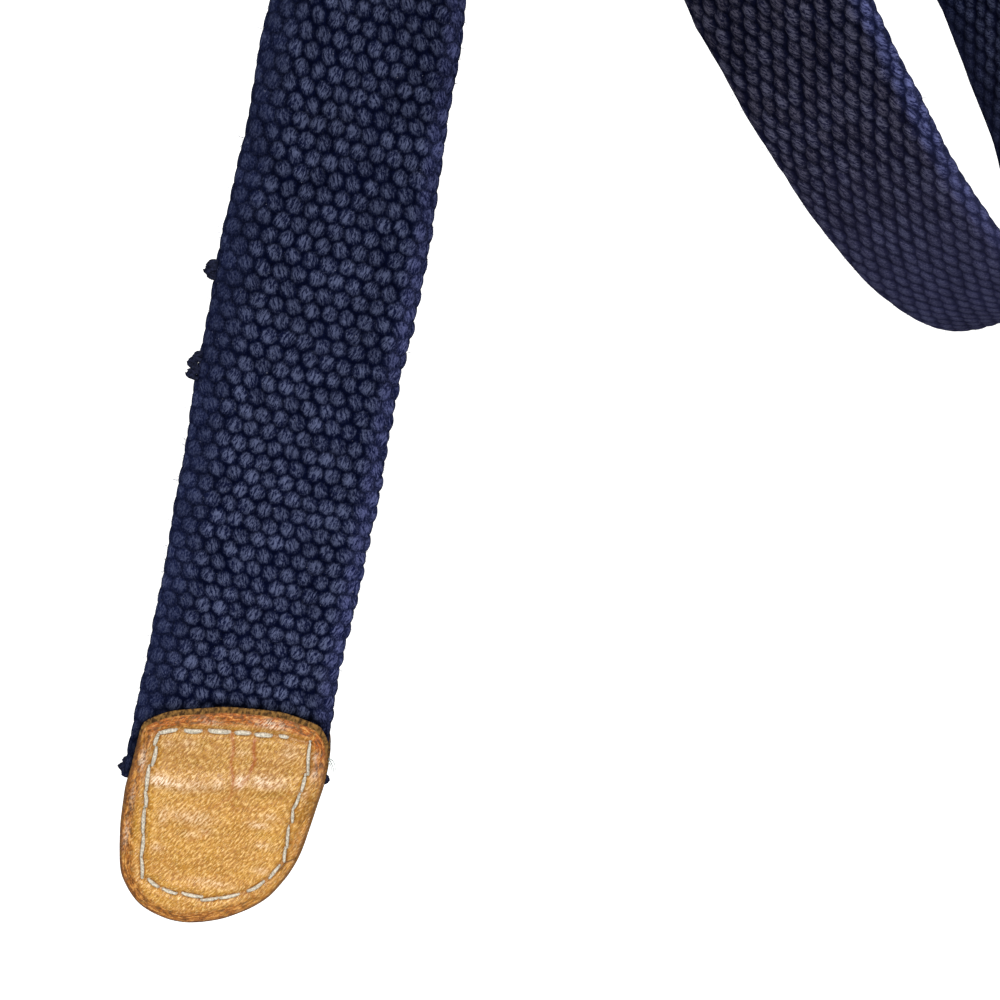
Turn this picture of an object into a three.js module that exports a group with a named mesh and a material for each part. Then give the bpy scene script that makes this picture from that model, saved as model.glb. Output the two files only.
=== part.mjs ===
// A canvas web belt, held up at one place on the web so that its free end hangs straight down.
// From there the web rises into an arch, comes down into a loose loop, rises again behind it,
// goes over a second arch and hangs down to a slide buckle.
// Millimetres, +Z up, the front of the free end towards -Y. The origin is where the web is held.
import * as THREE from 'three';

const { degToRad, smoothstep } = THREE.MathUtils;

// Web
const WEB_WIDTH = 35;
const WEB_THICK = 2.8;
const SELVEDGE_ROUND = 0.46;
const CLEARANCE = 0.3;

// Free end, which leans sideways and hangs from the hold down to the web's end
const FREE_END = 124.5;
const FREE_LEAN = 12;
const FREE_TILT = 3;

// Where the web comes down out of the first arch, and how it faces there
const LOOP_START = new THREE.Vector3(70.5, 0, 17.5);
const LOOP_LEAN = 32;
const LOOP_TILT = 12;
const LOOP_TURN = 48;
const ARCH_RISE = 75;
const ARCH_EDGE = new THREE.Vector3(0, -1.8, 0.3);

// Lengths of the other stretches of web
const LOOP_LENGTH = 208;
const SECOND_ARCH_LENGTH = 230;
const TAIL_LENGTH = 300;

// Sewn fold round the buckle's top bar
const FLAP_LENGTH = 24;
const LAP_ANGLE = 20;
const LAP_RADIUS = 12;

// Slide buckle, one plain piece
const BAR_WIDTH = 4;
const RAIL_WIDTH = 5;
const SLOT_HEIGHT = 10;
const SLOT_SIDE_PLAY = 1.5;
const BUCKLE_THICK = 3;
const BUCKLE_BEVEL = 0.7;
const BUCKLE_CORNER = 5;
const SLOT_CORNER = 1.5;

// Leather tip
const LEATHER_THICK = 1.8;
const TIP_LENGTH = 46;
const TIP_LAP = 16.4;
const TIP_CLOSE = 7;
const TIP_RIM = 0.7;
const RIM_WIDTH = 3;
const TIP_COLUMNS = 9;

// Steps along the web
const FINE_STEP = 1;
const KEEP_EVERY = 6;
const STRAIGHT_KEEP_EVERY = 18;
const FOLD_STEP = 1.2;
const ARCH_STEPS = 28;

// Stretches of web after the first arch: length of each as a share of a named length,
// how far it bends towards its face and how far it twists, both in degrees.
const STRETCHES = [
  { of: LOOP_LENGTH, share: 1, bend: 167, twist: -22 },
  { of: SECOND_ARCH_LENGTH, share: 0.27, bend: -30, twist: -40 },
  { of: SECOND_ARCH_LENGTH, share: 0.44, bend: -128, twist: 0 },
  { of: SECOND_ARCH_LENGTH, share: 0.29, bend: -57, twist: 20 },
  { of: TAIL_LENGTH, share: 0.4, bend: 0, twist: 55 },
  { of: TAIL_LENGTH, share: 0.6, bend: -6, twist: 8 },
];

// Outline of the leather tip: how far down it, then its two edges as shares of the web's width
// from the web's centre line. The left top corner is cut lower and the right side tapers.
const TIP_OUTLINE = [
  { down: 0, left: 0.185, right: 0.29 },
  { down: 0.02, left: -0.03, right: 0.435 },
  { down: 0.048, left: -0.165, right: 0.48 },
  { down: 0.085, left: -0.315, right: 0.51 },
  { down: 0.135, left: -0.415, right: 0.524 },
  { down: 0.17, left: -0.448, right: 0.53 },
  { down: 0.255, left: -0.456, right: 0.534 },
  { down: 0.352, left: -0.46, right: 0.521 },
  { down: 0.46, left: -0.47, right: 0.506 },
  { down: 0.595, left: -0.464, right: 0.483 },
  { down: 0.685, left: -0.452, right: 0.45 },
  { down: 0.75, left: -0.44, right: 0.411 },
  { down: 0.805, left: -0.426, right: 0.37 },
  { down: 0.845, left: -0.408, right: 0.326 },
  { down: 0.885, left: -0.376, right: 0.268 },
  { down: 0.922, left: -0.338, right: 0.2 },
  { down: 0.952, left: -0.296, right: 0.135 },
  { down: 0.975, left: -0.245, right: 0.065 },
  { down: 0.99, left: -0.19, right: 0.005 },
  { down: 1, left: -0.13, right: -0.06 },
];

// A place on the web: its point, the direction along the web and the direction across it.
function makeFrame(point, along, across) {
  const side = across.clone().addScaledVector(along, -across.dot(along)).normalize();
  return { point: point.clone(), along: along.clone(), across: side };
}

function faceOf(frame) {
  return new THREE.Vector3().crossVectors(frame.across, frame.along);
}

// Walks along one stretch in small steps. The bend and twist come on and fade out gently, or evenly
// where even is set. Every keepEvery-th place is kept, and the last one.
function walk(start, stretch, step, keepEvery) {
  const length = stretch.of * stretch.share;
  const count = keepEvery * Math.max(1, Math.round(length / (step * keepEvery)));
  const half = length / count / 2;
  const point = start.point.clone();
  const along = start.along.clone();
  const across = start.across.clone();
  const kept = [];
  for (let i = 0; i < count; i += 1) {
    const weight = stretch.even ? 1 : 1 - Math.cos((2 * Math.PI * (i + 0.5)) / count);
    point.addScaledVector(along, half);
    along.applyAxisAngle(across, (degToRad(stretch.bend) * weight) / count);
    across.applyAxisAngle(along, (degToRad(stretch.twist) * weight) / count);
    point.addScaledVector(along, half);
    if ((i + 1) % keepEvery === 0) {
      kept.push(makeFrame(point, along, across));
    }
  }
  return kept;
}

// The frame at the hold, with along pointing up the web.
function holdFrame() {
  const lean = degToRad(FREE_LEAN);
  const tilt = degToRad(FREE_TILT);
  const up = new THREE.Vector3(
    Math.sin(lean) * Math.cos(tilt),
    -Math.sin(tilt),
    Math.cos(lean) * Math.cos(tilt),
  );
  return makeFrame(new THREE.Vector3(), up, new THREE.Vector3(Math.cos(lean), 0, -Math.sin(lean)));
}

// The frame where the loop starts, with along pointing down the web.
function loopFrame() {
  const lean = degToRad(LOOP_LEAN);
  const tilt = degToRad(LOOP_TILT);
  const down = new THREE.Vector3(
    Math.sin(lean) * Math.cos(tilt),
    Math.sin(tilt),
    -Math.cos(lean) * Math.cos(tilt),
  );
  const level = new THREE.Vector3(Math.cos(lean), 0, Math.sin(lean));
  const across = level.applyAxisAngle(down, degToRad(LOOP_TURN));
  return makeFrame(LOOP_START, down, across);
}

// The first arch, from the hold to the start of the loop, its edge turned to the front at the top.
function archFrames(from, to) {
  const curve = new THREE.CubicBezierCurve3(
    from.point,
    from.point.clone().addScaledVector(from.along, ARCH_RISE),
    to.point.clone().addScaledVector(to.along, -ARCH_RISE),
    to.point,
  );
  const frames = [];
  for (let i = 1; i < ARCH_STEPS; i += 1) {
    const t = i / ARCH_STEPS;
    const across = from.across.clone().multiplyScalar((1 - t) ** 2);
    across.addScaledVector(ARCH_EDGE, 2 * t * (1 - t));
    across.addScaledVector(to.across, t ** 2);
    frames.push(makeFrame(curve.getPoint(t), curve.getTangent(t), across));
  }
  return frames;
}

// Radius of the web's centre line where it is folded round the buckle's bar.
const FOLD_RADIUS =
  Math.hypot(BAR_WIDTH / 2, BUCKLE_THICK / 2 - BUCKLE_BEVEL) + CLEARANCE + WEB_THICK / 2;

// The fold: round the bar, back to the web with a slope, then a flap that lies along it.
function foldStretches() {
  const lap = degToRad(LAP_ANGLE);
  const eased = LAP_RADIUS * (1 - Math.cos(lap));
  const across = FOLD_RADIUS * (1 + Math.cos(lap)) - eased - (WEB_THICK + CLEARANCE);
  return [
    { of: FOLD_RADIUS * (Math.PI + lap), share: 1, bend: 180 + LAP_ANGLE, twist: 0, even: true },
    { of: across / Math.sin(lap), share: 1, bend: 0, twist: 0, even: true },
    { of: LAP_RADIUS * lap, share: 1, bend: -LAP_ANGLE, twist: 0, even: true },
    { of: FLAP_LENGTH, share: 1, bend: 0, twist: 0, even: true },
  ];
}

function walkAll(start, stretches, step, keepEvery) {
  const frames = [start];
  for (const stretch of stretches) {
    frames.push(...walk(frames[frames.length - 1], stretch, step, keepEvery));
  }
  return frames;
}

// A curve that goes through given places and keeps the web's own direction across at each.
class WebRoute extends THREE.Curve {
  constructor(frames) {
    super();
    this.frames = frames;
  }

  getPoint(t, target = new THREE.Vector3()) {
    return target.copy(this.frames[Math.round(t * (this.frames.length - 1))].point);
  }

  getSpacedPoints() {
    return this.frames.map((frame) => frame.point);
  }

  computeFrenetFrames() {
    return {
      tangents: this.frames.map((frame) => frame.along),
      normals: this.frames.map((frame) => frame.across),
      binormals: this.frames.map((frame) => faceOf(frame).negate()),
    };
  }
}

// A rectangle with round corners, as a shape or a hole, its middle at the given height.
function roundedRectangle(Kind, width, height, radius, middle) {
  const x = width / 2 - radius;
  const y = height / 2 - radius;
  const outline = new Kind();
  outline.absarc(x, middle - y, radius, -Math.PI / 2, 0);
  outline.absarc(x, middle + y, radius, 0, Math.PI / 2);
  outline.absarc(-x, middle + y, radius, Math.PI / 2, Math.PI);
  outline.absarc(-x, middle - y, radius, Math.PI, Math.PI * 1.5);
  return outline;
}

// The web's section has flat faces and rounded selvedges.
function webGeometry(frames) {
  const radius = WEB_THICK * SELVEDGE_ROUND;
  const section = roundedRectangle(THREE.Shape, WEB_WIDTH, WEB_THICK, radius, 0);
  return new THREE.ExtrudeGeometry(section, {
    steps: frames.length - 1,
    curveSegments: 1,
    extrudePath: new WebRoute(frames),
  });
}

// A closed skin over rings of equally many points, with a fan over each end.
function loft(rings) {
  const around = rings[0].length;
  const points = rings.flat();
  const index = [];
  for (let row = 0; row < rings.length - 1; row += 1) {
    for (let i = 0; i < around; i += 1) {
      const a = row * around + i;
      const b = row * around + ((i + 1) % around);
      index.push(a, b, b + around, a, b + around, a + around);
    }
  }
  const lastRow = (rings.length - 1) * around;
  for (let i = 1; i < around - 1; i += 1) {
    index.push(0, i + 1, i);
    index.push(lastRow, lastRow + i, lastRow + i + 1);
  }
  const geometry = new THREE.BufferGeometry().setFromPoints(points);
  geometry.setIndex(index);
  geometry.computeVertexNormals();
  return geometry;
}

// Distance of the leather's inner face from the middle of the web: over the web, then closed below it.
function innerDepth(down) {
  const open = WEB_THICK / 2 + CLEARANCE;
  const shut = CLEARANCE / 2;
  return THREE.MathUtils.lerp(open, shut, smoothstep(down, TIP_LAP + CLEARANCE, TIP_LAP + TIP_CLOSE));
}

// One leather piece of the tip, on the front (side 1) or the back (side -1) of the web.
function leatherGeometry(frame, side) {
  const face = faceOf(frame).multiplyScalar(side);
  const rings = TIP_OUTLINE.map((row) => {
    const down = row.down * TIP_LENGTH;
    const inner = innerDepth(down);
    const left = row.left * WEB_WIDTH;
    const right = row.right * WEB_WIDTH;
    const fromEnds = Math.min(down, TIP_LENGTH - down);
    const place = (share, depth) =>
      frame.point
        .clone()
        .addScaledVector(frame.along, -down)
        .addScaledVector(frame.across, left + (right - left) * share)
        .addScaledVector(face, depth);
    const outerSide = [];
    const innerSide = [];
    for (let i = 0; i < TIP_COLUMNS; i += 1) {
      const share = i / (TIP_COLUMNS - 1);
      const rim = Math.min(share, 1 - share) * (right - left);
      const full = smoothstep(Math.min(rim, fromEnds), 0, RIM_WIDTH);
      const thick = LEATHER_THICK * (TIP_RIM + (1 - TIP_RIM) * full);
      outerSide.push(place(share, inner + thick));
      innerSide.unshift(place(share, inner));
    }
    return [...outerSide, ...innerSide];
  });
  return loft(side < 0 ? rings : rings.map((ring) => ring.slice().reverse()));
}

// A flat frame with three cross bars and two slots. Its own y axis runs down the buckle,
// and its top bar's centre is at the origin.
function buckleGeometry() {
  const slotWidth = WEB_WIDTH + 2 * SLOT_SIDE_PLAY;
  const pitch = BAR_WIDTH + SLOT_HEIGHT;
  const outline = roundedRectangle(
    THREE.Shape,
    slotWidth + 2 * RAIL_WIDTH,
    2 * pitch + BAR_WIDTH,
    BUCKLE_CORNER,
    pitch,
  );
  for (const middle of [pitch / 2, pitch * 1.5]) {
    outline.holes.push(
      roundedRectangle(THREE.Path, slotWidth, SLOT_HEIGHT, SLOT_CORNER, middle),
    );
  }
  const geometry = new THREE.ExtrudeGeometry(outline, {
    depth: BUCKLE_THICK - 2 * BUCKLE_BEVEL,
    curveSegments: 4,
    bevelThickness: BUCKLE_BEVEL,
    bevelSize: BUCKLE_BEVEL,
    bevelOffset: -BUCKLE_BEVEL,
    bevelSegments: 2,
  });
  geometry.translate(0, 0, BUCKLE_BEVEL - BUCKLE_THICK / 2);
  return geometry;
}

function makeMesh(name, geometry, material) {
  const mesh = new THREE.Mesh(geometry, material);
  mesh.name = name;
  return mesh;
}

const webCotton = new THREE.MeshStandardMaterial({ color: 0x262c43, roughness: 0.92, metalness: 0 });
const tipLeather = new THREE.MeshStandardMaterial({ color: 0xd0984f, roughness: 0.45, metalness: 0 });
const buckleBrass = new THREE.MeshStandardMaterial({ color: 0x9a7f4a, roughness: 0.38, metalness: 1 });

// The whole route of the web, from its end in the leather tip to the end of the flap at the buckle.
const hold = holdFrame();
const loopStart = loopFrame();
const webEndPoint = hold.point.clone().addScaledVector(hold.along, -FREE_END);
const webEnd = makeFrame(webEndPoint, hold.along, hold.across);
const straight = { of: FREE_END, share: 1, bend: 0, twist: 0 };
const freeEnd = walkAll(webEnd, [straight], FINE_STEP, STRAIGHT_KEEP_EVERY);
const hanging = walkAll(loopStart, STRETCHES, FINE_STEP, KEEP_EVERY);
const foldStart = hanging[hanging.length - 1];
const fold = walkAll(foldStart, foldStretches(), FOLD_STEP, 1);
const route = [...freeEnd, ...archFrames(hold, loopStart), ...hanging, ...fold.slice(1)];

const webStrap = makeMesh('web_strap', webGeometry(route), webCotton);

const tipTop = makeFrame(
  webEnd.point.clone().addScaledVector(webEnd.along, TIP_LAP),
  webEnd.along,
  webEnd.across,
);
const tipFront = makeMesh('tip_leather_front', leatherGeometry(tipTop, 1), tipLeather);
const tipBack = makeMesh('tip_leather_back', leatherGeometry(tipTop, -1), tipLeather.clone());

// The buckle hangs in the fold, its top bar's centre at the centre of the fold's round.
const buckle = makeMesh('slide_buckle', buckleGeometry(), buckleBrass);
const buckleFace = faceOf(foldStart);
const bucklePoint = foldStart.point.clone().addScaledVector(buckleFace, FOLD_RADIUS);
buckle.position.copy(bucklePoint);
buckle.quaternion.setFromRotationMatrix(
  new THREE.Matrix4().makeBasis(foldStart.across, foldStart.along, buckleFace),
);

const belt = new THREE.Group();
belt.name = 'canvas_web_belt';
belt.add(webStrap, tipFront, tipBack, buckle);

export default belt;
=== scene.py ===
"""Looks of a canvas web belt: woven navy web, stitched leather tip and brass slide buckle.

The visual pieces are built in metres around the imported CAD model, from the same route and sizes.
Lengths below are millimetres and angles degrees, unless a name says otherwise.
"""

import math

import bpy
import numpy as np
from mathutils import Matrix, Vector

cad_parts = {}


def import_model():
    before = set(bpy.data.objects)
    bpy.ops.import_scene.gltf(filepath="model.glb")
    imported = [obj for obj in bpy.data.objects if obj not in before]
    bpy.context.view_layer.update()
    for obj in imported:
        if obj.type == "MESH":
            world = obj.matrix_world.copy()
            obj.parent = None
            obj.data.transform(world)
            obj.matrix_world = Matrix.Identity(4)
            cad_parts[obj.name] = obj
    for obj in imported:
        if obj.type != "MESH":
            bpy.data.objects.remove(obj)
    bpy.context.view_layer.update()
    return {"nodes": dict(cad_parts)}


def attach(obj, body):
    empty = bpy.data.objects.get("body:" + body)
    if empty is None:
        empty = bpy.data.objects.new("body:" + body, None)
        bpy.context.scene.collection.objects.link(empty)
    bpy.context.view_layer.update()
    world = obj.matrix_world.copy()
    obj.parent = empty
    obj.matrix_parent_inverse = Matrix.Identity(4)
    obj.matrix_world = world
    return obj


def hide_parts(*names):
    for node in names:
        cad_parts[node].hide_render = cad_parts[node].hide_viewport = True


MM = 0.001

# Web
WEB_WIDTH = 35
WEB_THICK = 2.8
SELVEDGE_ROUND = 0.46
SELVEDGE_STEPS = 12
CLEARANCE = 0.3

# Route of the web, as in the part's source
FREE_END = 124.5
FREE_LEAN = 12
FREE_TILT = 3
LOOP_START = np.array([70.5, 0, 17.5])
LOOP_LEAN = 32
LOOP_TILT = 12
LOOP_TURN = 48
ARCH_RISE = 75
ARCH_EDGE = np.array([0, -1.8, 0.3])
LOOP_LENGTH = 208
SECOND_ARCH_LENGTH = 230
TAIL_LENGTH = 300
FLAP_LENGTH = 24
LAP_ANGLE = 20
LAP_RADIUS = 12
BAR_WIDTH = 4
BUCKLE_THICK = 3
BUCKLE_BEVEL = 0.7
WALK_STEP = 1
KEEP_EVERY = 6
FOLD_STEP = 0.3
ARCH_STEPS = 160

# Stretches after the first arch: length, share of it, bend towards the face, twist
STRETCHES = [
    (LOOP_LENGTH, 1, 167, -22),
    (SECOND_ARCH_LENGTH, 0.27, -30, -40),
    (SECOND_ARCH_LENGTH, 0.44, -128, 0),
    (SECOND_ARCH_LENGTH, 0.29, -57, 20),
    (TAIL_LENGTH, 0.4, 0, 55),
    (TAIL_LENGTH, 0.6, -6, 8),
]

# Leather tip
LEATHER_THICK = 1.8
TIP_LENGTH = 46
TIP_LAP = 16.4
TIP_CLOSE = 7
MIDDLE_CLOSE = 22
TIP_RIM = 0.7
TIP_SPREAD = 0.6
RIM_WIDTH = 3

# Outline of the leather tip: how far down it, then its left and right edges,
# as shares of the tip's length and of the web's width
TIP_OUTLINE = [
    (0, 0.185, 0.29),
    (0.02, -0.03, 0.435),
    (0.048, -0.165, 0.48),
    (0.085, -0.315, 0.51),
    (0.135, -0.415, 0.524),
    (0.17, -0.448, 0.53),
    (0.255, -0.456, 0.534),
    (0.352, -0.46, 0.521),
    (0.46, -0.47, 0.506),
    (0.595, -0.464, 0.483),
    (0.685, -0.452, 0.45),
    (0.75, -0.44, 0.411),
    (0.805, -0.426, 0.37),
    (0.845, -0.408, 0.326),
    (0.885, -0.376, 0.268),
    (0.922, -0.338, 0.2),
    (0.952, -0.296, 0.135),
    (0.975, -0.245, 0.065),
    (0.99, -0.19, 0.005),
    (1, -0.13, -0.06),
]

# Weave: yarn bumps in staggered columns that run along the web and round its selvedges
COLUMNS_AROUND = 48
ROW_PITCH = 2.82
BUMP_HALF_WIDTH = 1.78
BUMP_HALF_LENGTH = 1.86
BUMP_POINTED = 2
CHAIN_SLANT = 0.04
CHAIN_LONGER = 0.22
CHAIN_SLIMMER = 0.16
CHAIN_FULLER = 0.16
BUMP_DOME = 0.66
BUMP_RISE = 0.72
BUMP_BASE = -0.6
SELVEDGE_COLUMNS = 2.6
SELVEDGE_BASE = -0.5
SELVEDGE_RISE = 0.6
LEFT_SELVEDGE = 0.45
LEFT_CHAIN_SELVEDGE = 0.1
SOFT_FLATTER = 0.55
SOFT_FILL = 0.22
# Painted shadow on the web beside the leather tip: its reach from the tip's outline and how much it
# darkens the web
TIP_SHADOW_REACH = 2.6
TIP_SHADOW_DARKER = 0.65

# Scatter of the bumps: their place across and along in pitches, their slant and their width
COLUMN_STRAY = 0.14
CHAIN_STRAY = 0.16
ROW_STRAY = 0.12
SLANT_STRAY = 0.3
WIDTH_STRAY = 0.2

# How the soft web strays from its route: distance from its end, shift to the right, how far each
# edge is drawn in, how far the edges cup backwards, how much painted light and shade brighten and darken
# the yarn, rise of the right selvedge, how far the bumps lean into slanted chains and how far the cloth
# is stretched smooth
WEB_COURSE = [
    (0, -0.6, -0.6, 0, 1.05, 0.5, 0, 0),
    (10, 0.1, -0.5, 0, 1.05, 0.6, 0, 0),
    (16, 0.1, -0.3, 0, 1.1, 0.7, 0, 0),
    (22, 0.05, 0, 0.1, 1.14, 0.9, 0, 0),
    (34, 0.38, 0, 0.2, 1.14, 1, 0, 0),
    (46, 0.35, -0.25, 0.5, 1.12, 1.1, 0, 0),
    (64, 0.3, -0.05, 0.8, 1.06, 1.1, 0, 0),
    (82, 0.28, 0.08, 1, 1, 1.1, 0, 0),
    (90, 0.8, -0.2, 1, 0.96, 1.1, 0, 0),
    (100, 0.55, -0.3, 1.2, 0.95, 0.8, 0, 0),
    (108, 0.75, 0, 1.2, 0.95, 0.8, 0, 0),
    (118, 0.7, 0.7, 1.4, 0.9, 0.6, 0, 0),
    (126, 0.5, 0.9, 1.2, 0.9, 0.6, 0, 0),
    (150, 0.1, 0.3, 0.3, 0.9, 0.6, 0, 0),
    (232, 0, 0.4, 0, 1, 0.7, 0.2, 0),
    (262, -0.2, 0.1, 0, 1, 0.8, 1, 0.1),
    (276, -0.4, 0.2, 0, 1.15, 0.8, 1, 0.15),
    (286, -0.4, 0.8, 0, 1.2, 0.8, 1, 0.25),
    (300, -0.1, 1.4, 0, 1.24, 0.7, 1, 0.6),
    (312, 0.05, 1.7, 0, 1.34, 0.6, 1, 0.85),
    (330, 0.1, 1.8, 0, 1.48, 0.6, 1, 1),
    (350, 0.1, 1.5, 0, 1.46, 0.6, 1, 0.85),
    (365, 0, 0.8, 0, 1, 0.6, 1, 0.2),
    (395, -2.1, 0, 0, 0.95, 0.6, 1, 0),
    (410, -2.15, 0, 0, 0.92, 0.6, 1, 0.2),
    (420, -1.8, 0, 0, 0.92, 0.6, 1, 0.2),
    (428, -1.1, 0, 0, 0.92, 0.6, 1, 0.2),
    (436, 0.25, 0, 0, 0.92, 0.6, 1, 0),
    (446, 0.4, 0.1, 0, 0.95, 0.6, 0.6, 0),
    (480, 0, 0.2, 0, 1, 0.6, 0, 0),
    (1100, 0, 0.2, 0, 1, 0.6, 0, 0),
]

# The web's end is cut a little askew: its height above the square end per millimetre across
END_SKEW = 0.145
END_SKEW_REACH = 20


def srgb(red, green, blue):
    """A shader colour from the 0 to 255 values that it shows as."""
    out = []
    for value in (red, green, blue):
        share = value / 255
        out.append(share / 12.92 if share <= 0.04045 else ((share + 0.055) / 1.055) ** 2.4)
    return (*out, 1)


def smooth(value, low, high):
    share = np.clip((value - low) / (high - low), 0, 1)
    return share * share * (3 - 2 * share)


def chance(*keys):
    """A repeatable even scatter from 0 to 1 for whole-number keys."""
    mix = sum(np.asarray(key, float) * factor for key, factor in zip(keys, (12.9898, 78.233, 37.719)))
    return np.mod(np.sin(mix) * 43758.5453, 1)


def unit(vectors):
    return vectors / np.linalg.norm(vectors, axis=-1, keepdims=True)


def run_along(points):
    """Distance along a line of points at each of them."""
    return np.concatenate([[0], np.cumsum(np.linalg.norm(np.diff(points, axis=0), axis=1))])


def turned(vector, axis, degrees):
    angle = math.radians(degrees)
    level = vector * math.cos(angle) + np.cross(axis, vector) * math.sin(angle)
    return level + axis * (axis @ vector) * (1 - math.cos(angle))


def squared(point, along, across):
    """A place on the web: its point, the direction along it and the direction across it."""
    return point, along, unit(across - along * (across @ along))


def walk(place, length, bend, twist, count, even=False):
    point, along, across = place
    half = length / count / 2
    places = []
    for i in range(count):
        weight = 1 if even else 1 - math.cos(2 * math.pi * (i + 0.5) / count)
        point = point + along * half
        along = turned(along, across, bend * weight / count)
        across = turned(across, along, twist * weight / count)
        point = point + along * half
        places.append(squared(point, along, across))
    return places


def hold_place():
    lean, tilt = math.radians(FREE_LEAN), math.radians(FREE_TILT)
    up = np.array([math.sin(lean) * math.cos(tilt), -math.sin(tilt), math.cos(lean) * math.cos(tilt)])
    return squared(np.zeros(3), up, np.array([math.cos(lean), 0, -math.sin(lean)]))


def loop_place():
    lean, tilt = math.radians(LOOP_LEAN), math.radians(LOOP_TILT)
    down = np.array([math.sin(lean) * math.cos(tilt), math.sin(tilt), -math.cos(lean) * math.cos(tilt)])
    level = np.array([math.cos(lean), 0, math.sin(lean)])
    return squared(LOOP_START, down, turned(level, down, LOOP_TURN))


def arch_places(start, stop):
    p = [start[0], start[0] + start[1] * ARCH_RISE, stop[0] - stop[1] * ARCH_RISE, stop[0]]
    places = []
    for i in range(1, ARCH_STEPS):
        t = i / ARCH_STEPS
        r = 1 - t
        point = p[0] * r**3 + p[1] * 3 * r * r * t + p[2] * 3 * r * t * t + p[3] * t**3
        along = unit((p[1] - p[0]) * r * r + (p[2] - p[1]) * 2 * r * t + (p[3] - p[2]) * t * t)
        across = start[2] * r * r + ARCH_EDGE * 2 * t * r + stop[2] * t * t
        places.append(squared(point, along, across))
    return places


FOLD_RADIUS = math.hypot(BAR_WIDTH / 2, BUCKLE_THICK / 2 - BUCKLE_BEVEL) + CLEARANCE + WEB_THICK / 2


def fold_rows():
    """Length and bend of each part of the fold round the buckle's bar."""
    lap = math.radians(LAP_ANGLE)
    eased = LAP_RADIUS * (1 - math.cos(lap))
    rise = FOLD_RADIUS * (1 + math.cos(lap)) - eased - (WEB_THICK + CLEARANCE)
    return [
        (FOLD_RADIUS * (math.pi + lap), 180 + LAP_ANGLE),
        (rise / math.sin(lap), 0),
        (LAP_RADIUS * lap, -LAP_ANGLE),
        (FLAP_LENGTH, 0),
    ]


def whole_route():
    """Distance from the web's end, point, along and across at each place, and where stretches start."""
    hold, loop_start = hold_place(), loop_place()
    places = walk((hold[0] - hold[1] * FREE_END, hold[1], hold[2]), FREE_END, 0, 0, 60)
    places.insert(0, squared(hold[0] - hold[1] * FREE_END, hold[1], hold[2]))
    places += arch_places(hold, loop_start)
    marks = [len(places)]
    places.append(loop_start)
    for length, share, bend, twist in STRETCHES:
        count = KEEP_EVERY * max(1, round(length * share / (WALK_STEP * KEEP_EVERY)))
        places += walk(places[-1], length * share, bend, twist, count)
        marks.append(len(places) - 1)
    for length, bend in fold_rows():
        places += walk(places[-1], length, bend, 0, max(2, round(length / FOLD_STEP)), True)
    points, alongs, acrosses = (np.array([place[i] for place in places]) for i in range(3))
    distance = run_along(points)
    return distance, points, alongs, acrosses, [distance[i] for i in marks]


DISTANCE, POINTS, ALONGS, ACROSSES, MARKS = whole_route()


def on_web(distance, across, depth):
    """Points at distances from the web's end, places across it and heights over its middle.

    Past its ends the web's line runs on straight.
    """

    def read(table):
        return np.stack([np.interp(distance, DISTANCE, table[:, i]) for i in range(3)], axis=-1)

    along = unit(read(ALONGS))
    side = read(ACROSSES)
    side = unit(side - along * np.sum(side * along, axis=-1, keepdims=True))
    past = np.minimum(distance, 0) + np.maximum(distance - DISTANCE[-1], 0)
    point = read(POINTS) + along * past[..., None]
    return point + side * across[..., None] + np.cross(side, along) * depth[..., None]


def placed(name, data, place=(0, 0, 0)):
    thing = bpy.data.objects.new(name, data)
    thing.location = place
    bpy.context.scene.collection.objects.link(thing)
    return thing


def mesh_object(name, points, faces, material, attributes=None, bake_map=None):
    """An object from points in millimetres and lists of faces, with point attributes and a bake map."""
    mesh = bpy.data.meshes.new(name)
    mesh.from_pydata((points * MM).tolist(), [], faces)
    for key, values in (attributes or {}).items():
        layer = mesh.attributes.new(key, "FLOAT", "POINT")
        layer.data.foreach_set("value", np.asarray(values, np.float32).ravel())
    if bake_map is not None:
        corner = np.empty(len(mesh.loops), np.int32)
        mesh.loops.foreach_get("vertex_index", corner)
        layer = mesh.uv_layers.new(name="OFBake")
        layer.data.foreach_set("uv", np.asarray(bake_map, np.float32)[corner].ravel())
    mesh.polygons.foreach_set("use_smooth", [True] * len(mesh.polygons))
    mesh.materials.append(material)
    mesh.update()
    return placed(name, mesh)


def ring_faces(rings, count):
    """Point numbers of a sleeve of closed rings of points, and the faces between the rings."""
    index = np.arange(rings * count).reshape(rings, count)
    after = np.roll(index, -1, axis=1)
    return index, np.stack([index[:-1], index[1:], after[1:], after[:-1]], axis=-1).reshape(-1, 4)


def section_nodes():
    """The web's section: distance round it from the middle of the face, then place and outward normal."""
    radius = WEB_THICK * SELVEDGE_ROUND
    flat, side = WEB_WIDTH / 2 - radius, WEB_THICK / 2 - radius
    rows = [(0, WEB_THICK / 2, 0, 1), (flat, WEB_THICK / 2, 0, 1)]
    for start, depth in ((90, side), (0, -side)):
        for i in range(1, SELVEDGE_STEPS + 1):
            angle = math.radians(start - 90 * i / SELVEDGE_STEPS)
            x, y = math.cos(angle), math.sin(angle)
            rows.append((flat + radius * x, depth + radius * y, x, y))
        if start == 90:
            rows.append((WEB_WIDTH / 2, -side, 1, 0))
    rows.append((0, -WEB_THICK / 2, 0, -1))
    right = np.array(rows)
    left = right[::-1][1:] * [-1, 1, -1, 1]
    nodes = np.concatenate([right, left])
    return run_along(nodes[:, :2]), nodes


ROUND, SECTION = section_nodes()
COLUMN_PITCH = ROUND[-1] / COLUMNS_AROUND


def on_section(distance):
    wrapped = np.mod(distance, ROUND[-1])
    place = [np.interp(wrapped, ROUND, SECTION[:, i]) for i in range(4)]
    size = np.hypot(place[2], place[3])
    return place[0], place[1], place[2] / size, place[3] / size


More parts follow.
